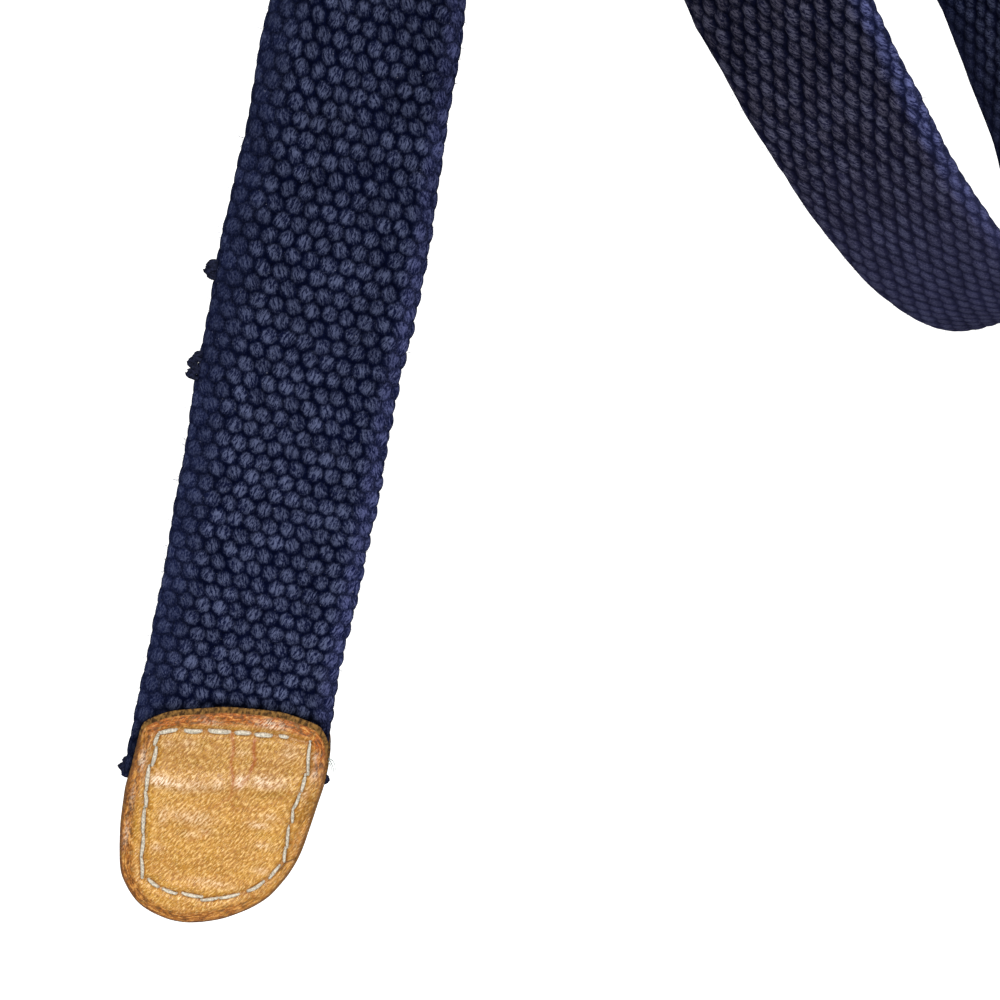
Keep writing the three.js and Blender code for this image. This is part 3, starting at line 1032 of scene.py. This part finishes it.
def web_material():
    """Navy cotton: slate yarn tops with fine streaks, near-black gaps, bluish selvedges; painted shade in
    the gaps and on the left side, painted light on the right selvedge and on the back.
    """
    n = Nodes("navy_cotton_web")
    rise, luck, over, down = n.values("rise", "luck", "over", "down")
    rim, side, behind = n.values("rim", "side", "behind")
    tone, soft, cap = n.values("tone", "soft", "cap")
    around, along = n.values("around", "along")
    web = n.place(around, along, cap)
    left = n.times(n.ramp(side, -0.5, -0.86), n.math("SUBTRACT", 1.0, behind))
    right = n.ramp(side, 0.76, 0.92)
    streak_place = n.place(n.times(over, 3.3), n.times(down, 0.8), n.times(luck, 37.0))
    streaks = n.noise(streak_place, 1.0, 3.0, 0.65, 0.4)
    fibre_place = n.place(n.times(around, 3.4), n.times(along, 2.2))
    fibres = n.noise(fibre_place, 1.0, 3.0, 0.7)
    broad = n.noise(web, 0.16, 2.0)
    # Painted shade: each yarn bump darkens from its top towards the gaps, with painted light on its upper
    # side and painted shade on its lower side
    painted_top_light = n.times(down, n.ramp(behind, 0, 1, 0.08, -0.09))
    domed = n.math("ADD", n.math("POWER", rise, 1.5), painted_top_light)
    shade = n.ramp(n.linear(n.math("SUBTRACT", fibres, 0.5), 0.9, domed), 0.19, 1.02)
    right_flat = n.times(right, n.ramp(behind, 0, 1, 0.55, 0.1))
    flat = n.math("MAXIMUM", n.times(left, 0.35), right_flat)
    shade = n.linear(n.math("SUBTRACT", n.ramp(fibres, 0.25, 0.75), shade), flat, shade)
    top = n.mix(n.ramp(streaks, 0.42, 0.58), srgb(16, 21, 49), srgb(80, 87, 116))
    top = n.mix(n.ramp(fibres, 0.52, 0.68, 0.0, 0.4), top, srgb(100, 107, 136))
    top = n.scaled(top, n.linear(luck, 0.15, 0.9))
    # Painted shade on the front's left side: darker, flatter yarn
    painted_left_shade = n.mix(n.ramp(fibres, 0.3, 0.7), srgb(20, 26, 54), srgb(44, 51, 84))
    top = n.mix(n.times(left, 0.6), top, painted_left_shade)
    # The right selvedge's plies, lighter and bluer: their own streaks with a painted highlight
    highlit_plies = n.mix(n.ramp(streaks, 0.38, 0.6), srgb(16, 20, 56), srgb(92, 97, 146))
    top = n.mix(n.times(right, 0.7), top, highlit_plies)
    even = n.mix(n.ramp(fibres, 0.3, 0.7), srgb(44, 45, 72), srgb(70, 70, 99))
    top = n.mix(n.times(soft, 0.85), top, even)
    # The near-black gap colour is painted shade between the yarns
    gap = n.mix(n.times(rim, 0.6), srgb(4, 9, 35), srgb(17, 23, 54))
    gap = n.mix(n.times(soft, 0.9), gap, srgb(38, 39, 66))
    colour = n.mix(shade, gap, top)
    # A warmer tint on the web's back, away from the right selvedge and the stretched cloth: partly
    # painted warm bounce light and partly the yarn's own hue, varying from bump to bump
    warm = n.add("ShaderNodeVectorMath", operation="MULTIPLY")
    n.put(warm.inputs[0], colour)
    warm.inputs[1].default_value = (1.2, 0.96, 0.77)
    bounce_and_hue = n.times(behind, n.math("SUBTRACT", 1.0, n.math("MAXIMUM", right, soft)))
    bounce_and_hue = n.times(bounce_and_hue, n.ramp(luck, 0.15, 0.85, 1.0, 0.74))
    colour = n.mix(bounce_and_hue, colour, warm.outputs[0])
    # A painted highlight brightens the right selvedge on the web's back
    colour = n.scaled(colour, n.linear(n.times(right, behind), 0.32, 1.0))
    # Painted light and shade along the web, with a random broad tone on top
    colour = n.scaled(colour, n.times(tone, n.ramp(broad, 0.3, 0.7, 0.86, 1.14)))
    speck = n.noise(web, 2.4, 1.0, 0.4)
    colour = n.mix(n.ramp(speck, 0.79, 0.81, 0.0, 0.6), colour, srgb(150, 152, 168))
    return n.surface({
        "Base Color": colour,
        "Roughness": 0.9,
        "Specular IOR Level": 0.03,
        "Normal": n.bump(fibres, 0.0003, 0.8, n.bump(streaks, 0.0003, 0.9)),
    })


def leather_material():
    """Glossy tan leather with a slanting grain, a redder rim, raw brown edges and dark creases; painted
    highlights and glints on the grain, painted shade along the very edge and the seam.
    """
    n = Nodes("tan_leather")
    across, down, rim, seam = n.values("across", "down", "from_rim", "seam")
    raw, crease, crack, painted_highlight = n.values("raw", "crease", "crack", "painted_highlight")
    slant_a = n.math("ADD", n.times(across, 0.5), n.times(down, -0.87))
    slant_b = n.math("ADD", n.times(across, 0.87), n.times(down, 0.5))
    flat = n.place(across, down)
    wobble = n.times(n.noise(flat, 0.35, 2.0), 1.2)
    grain_place = n.place(n.times(slant_a, 0.95), n.linear(slant_b, 3.0, wobble))
    grain = n.noise(grain_place, 1.0, 2.0, 0.55, 0.1)
    cells = n.add("ShaderNodeTexVoronoi", feature="F1")
    n.put(cells.inputs["Vector"], grain_place)
    n.put(cells.inputs["Scale"], 1.0)
    pores = n.ramp(cells.outputs["Distance"], 0.62, 0.1)
    blotch = n.noise(flat, 0.13, 3.0, 0.6)
    colour = n.mix(n.ramp(blotch, 0.34, 0.68), srgb(190, 130, 40), srgb(211, 153, 57))
    colour = n.mix(n.ramp(n.noise(flat, 0.3, 2.0), 0.5, 0.72, 0.0, 0.6), colour, srgb(184, 134, 33))
    colour = n.mix(n.ramp(grain, 0.5, 0.36, 0.0, 0.7), colour, srgb(156, 98, 26))
    # The grain's light dashes and pores: partly the grain's own paler colour and partly painted glints
    colour = n.mix(n.ramp(grain, 0.52, 0.64, 0.0, 0.85), colour, srgb(245, 200, 126))
    colour = n.mix(n.ramp(pores, 0.5, 0.95, 0.0, 0.3), colour, srgb(246, 204, 136))
    right_side = n.times(n.ramp(across, 6, 12), n.ramp(down, 8, 15))
    outer = n.times(n.ramp(rim, 3.4, 1.8), n.ramp(n.noise(flat, 0.5, 3.0), 0.2, 0.5, 0.35, 1.0))
    outer = n.times(outer, n.linear(right_side, -0.6, 1.0))
    deep = n.mix(n.ramp(down, 5, 11), srgb(178, 84, 2), srgb(168, 98, 34))
    rim_place = n.place(n.times(across, 0.8), n.times(down, 0.8), n.times(rim, 2.4))
    spots = n.noise(rim_place, 1.0, 3.0, 0.65)
    deep = n.mix(n.ramp(spots, 0.51, 0.42, 0.0, 0.95), deep, srgb(88, 42, 12))
    deep = n.mix(n.ramp(spots, 0.53, 0.63, 0.0, 0.85), deep, srgb(232, 168, 90))
    colour = n.mix(n.times(outer, 0.85), colour, deep)
    colour = n.scaled(colour, n.ramp(down, 22, 12, 1.0, 0.87))
    # Painted highlights, broken up along the grain's dashes
    highlight_dashes = n.times(painted_highlight, n.ramp(grain, 0.38, 0.6, 0.04, 0.84))
    colour = n.mix(n.math("MINIMUM", highlight_dashes, 0.95), colour, srgb(255, 228, 198))
    # Painted shade: a dark brown line along the very edge
    colour = n.mix(n.ramp(rim, 0.9, 0.2, 0.0, 0.7), colour, srgb(104, 60, 26))
    # Painted shade in and beside the seam's groove
    colour = n.mix(n.times(n.ramp(seam, 0.9, 0.2), 0.45), colour, srgb(140, 80, 30))
    colour = n.mix(n.times(crease, 0.9), colour, srgb(162, 78, 2))
    colour = n.mix(n.times(crack, 0.9), colour, srgb(70, 38, 18))
    fray = n.noise(flat, 1.6, 3.0)
    raw = n.ramp(n.linear(n.math("SUBTRACT", fray, 0.5), 0.9, raw), 0.3, 0.6)
    colour = n.mix(raw, colour, n.mix(n.ramp(fray, 0.36, 0.64), srgb(70, 46, 20), srgb(148, 108, 54)))
    near_rim = n.times(n.ramp(rim, 3.4, 1.8), n.ramp(down, 10, 5, 0.4, 0.95))
    coat = n.times(n.ramp(raw, 0.1, 0.5, 0.8, 0.0), n.linear(near_rim, -1.0, 1.0))
    normal = n.bump(pores, 0.0001, 0.9, n.bump(grain, 0.00016, 0.8))
    return n.surface({
        "Base Color": colour,
        "Roughness": n.ramp(raw, 0.2, 0.8, 0.42, 0.85),
        "Specular IOR Level": 0.26,
        "Coat Weight": coat,
        "Coat Roughness": 0.17,
        "Normal": normal,
        "Coat Normal": normal,
    })


def thread_material(name, dark, light):
    n = Nodes(name)
    place = n.add("ShaderNodeTexCoord").outputs["Object"]
    strands = n.noise(place, 2600, 3.0, 0.6)
    return n.surface({
        "Base Color": n.mix(n.ramp(strands, 0.32, 0.68), dark, light),
        "Roughness": 0.7,
        "Specular IOR Level": 0.1,
        "Normal": n.bump(strands, 0.0002, 0.7),
    })


def brass_material():
    """Dark brass, brushed across the buckle, worn brighter in places."""
    n = Nodes("brushed_brass")
    place = n.add("ShaderNodeTexCoord").outputs["Object"]
    stretch = n.add("ShaderNodeMapping")
    stretch.inputs["Scale"].default_value = (120, 900, 4200)
    n.put(stretch.inputs["Vector"], place)
    brushed = n.noise(stretch.outputs[0], 1.0, 4.0, 0.65)
    worn = n.noise(place, 160, 3.0)
    colour = n.mix(n.ramp(worn, 0.35, 0.7), srgb(142, 116, 66), srgb(190, 160, 96))
    colour = n.mix(n.ramp(brushed, 0.5, 0.8, 0.0, 0.5), colour, srgb(92, 72, 40))
    return n.surface({
        "Base Color": colour,
        "Metallic": 1.0,
        "Roughness": n.ramp(brushed, 0.3, 0.7, 0.26, 0.46),
        "Normal": n.bump(brushed, 0.00006, 0.5),
    })


def stage_material():
    """A pale floor and backdrop that stays near white under the studio light."""
    n = Nodes("pale_stage")
    place = n.add("ShaderNodeTexCoord").outputs["Object"]
    return n.surface({
        "Base Color": (0.9, 0.9, 0.9, 1),
        "Roughness": 1.0,
        "Emission Color": (1, 1, 1, 1),
        "Emission Strength": n.ramp(n.noise(place, 3.0, 2.0), 0.3, 0.7, 0.97, 1.0),
    })


# Camera, in metres, looking along +Y and down
CAMERA_PLACE = (0.0256667, -0.3144746, 0.0118496)
CAMERA_DOWN = 14
CAMERA_LENS = 66.96
FLOOR_HEIGHT = -0.3
FLOOR_HALF = 1.6
WALL_START = 1.1
WALL_ROUND = 0.5
WALL_HEIGHT = 1.8


def add_camera():
    data = bpy.data.cameras.new("camera")
    data.lens = CAMERA_LENS
    data.sensor_width = 36
    data.clip_start = 0.01
    camera = placed("camera", data, CAMERA_PLACE)
    camera.rotation_euler = (math.radians(90 - CAMERA_DOWN), 0, 0)
    bpy.context.scene.camera = camera


def add_light(name, place, target, size, watts):
    data = bpy.data.lights.new(name, "AREA")
    data.shape = "RECTANGLE"
    data.size, data.size_y = size
    data.energy = watts
    light = placed(name, data, place)
    light.rotation_euler = (Vector(target) - Vector(place)).to_track_quat("-Z", "Y").to_euler()


def add_stage():
    """The floor runs into a rounded wall behind the belt."""
    profile = [(-FLOOR_HALF, FLOOR_HEIGHT), (WALL_START, FLOOR_HEIGHT)]
    for i in range(1, 13):
        angle = math.radians(90 * i / 12)
        back, up = math.sin(angle), 1 - math.cos(angle)
        profile.append((WALL_START + WALL_ROUND * back, FLOOR_HEIGHT + WALL_ROUND * up))
    profile.append((WALL_START + WALL_ROUND, FLOOR_HEIGHT + WALL_HEIGHT))
    points = np.array([(x, y, z) for y, z in profile for x in (-FLOOR_HALF * 2, FLOOR_HALF * 2)]) / MM
    faces = [[2 * i, 2 * i + 1, 2 * i + 3, 2 * i + 2] for i in range(len(profile) - 1)]
    floor = mesh_object("floor", points, faces, stage_material())
    floor.visible_diffuse = False
    floor.visible_glossy = False


# Lights: name, place and target in metres, width and height, and power in watts
LIGHTS = [
    ("key", (0.45, -0.7, 0.65), (0.03, 0, -0.05), (0.6, 0.45), 6.6),
    ("left", (-0.6, -0.6, 0.45), (0, 0, -0.05), (0.5, 0.5), 2.8),
    ("front", (0, -1.1, -0.18), (0, 0, -0.1), (1.1, 0.12), 5),
    ("bounce", (0.06, -0.3, -0.28), (0.06, 0, 0), (0.4, 0.3), 0.5),
]
ROOM_LIGHT = 0.22


def light_up():
    world = bpy.data.worlds.new("studio")
    world.use_nodes = True
    background = world.node_tree.nodes["Background"]
    background.inputs["Color"].default_value = (1, 1, 1, 1)
    background.inputs["Strength"].default_value = ROOM_LIGHT
    bpy.context.scene.world = world
    bpy.context.scene.view_settings.view_transform = "Standard"
    for row in LIGHTS:
        add_light(*row)


def dress(piece, slot_name, *nodes):
    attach(piece, "root")
    if nodes:
        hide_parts(*nodes)
    return piece


def build_web():
    """The web in stretches: those that the camera sees have finer cells on the side that it sees.

    A row holds a stretch's name, where it starts and stops, and its cells to a row, to a column on
    its face and to one on its back.
    """
    cotton = web_material()
    loop, tail, end = MARKS[0], MARKS[-1], DISTANCE[-1]
    stretches = [
        ("web_free_end", 0, 76, 8, 6, 2),
        ("web_free_end_upper", 76, 152, 8, 6, 2),
        ("web_first_arch", 152, loop - 24, 4, 3, 3),
        ("web_falling", loop - 24, loop + 104, 8, 2, 6),
        ("web_loop", loop + 104, loop + 168, 5, 4, 3),
        ("web_rising", loop + 168, loop + 232, 6, 5, 2),
        ("web_second_arch", loop + 232, MARKS[4], 4, 3, 3),
        ("web_tail", MARKS[4], tail - 4, 4, 3, 3),
        ("web_fold", tail - 4, end, 6, 3, 3),
    ]
    for row in stretches:
        dress(web_piece(*row, cotton), "web_cotton", "web_strap")


def build_yarn():
    """Loose yarn, fibres and the sewing of the fold."""
    dark = thread_material("dark_yarn", srgb(6, 9, 24), srgb(34, 38, 62))
    dress(joined("yarn_nubs", nub_parts(), dark), "web_cotton")
    fibre = thread_material("navy_fibre", srgb(24, 28, 50), srgb(80, 84, 112))
    dress(joined("loose_fibres", fuzz_parts(), fibre), "web_cotton")
    navy = thread_material("navy_thread", srgb(34, 40, 72), srgb(84, 90, 128))
    dress(joined("fold_stitches", fold_sewing(MARKS[-1]), navy), "web_cotton")
    white = thread_material("frayed_end", srgb(138, 150, 146), srgb(190, 200, 194))
    dress(joined("frayed_thread", wisp_parts(), white), "tip_leather")


def build_tip():
    leather = leather_material()
    dress(leather_piece("leather_front", 1, 420, 88, leather), "tip_leather", "tip_leather_front")
    dress(leather_piece("leather_back", -1, 240, 48, leather), "tip_leather", "tip_leather_back")
    ivory = thread_material("ivory_thread", srgb(164, 156, 138), srgb(232, 223, 204))
    dress(tip_stitches(1, ivory, "stitches_front"), "tip_leather")
    dress(tip_stitches(-1, ivory, "stitches_back"), "tip_leather")


def main():
    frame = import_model()
    add_camera()
    add_stage()
    light_up()
    build_web()
    build_tip()
    build_yarn()
    brass = brass_material()
    for slot in frame["nodes"]["slide_buckle"].material_slots:
        slot.material = brass


main()
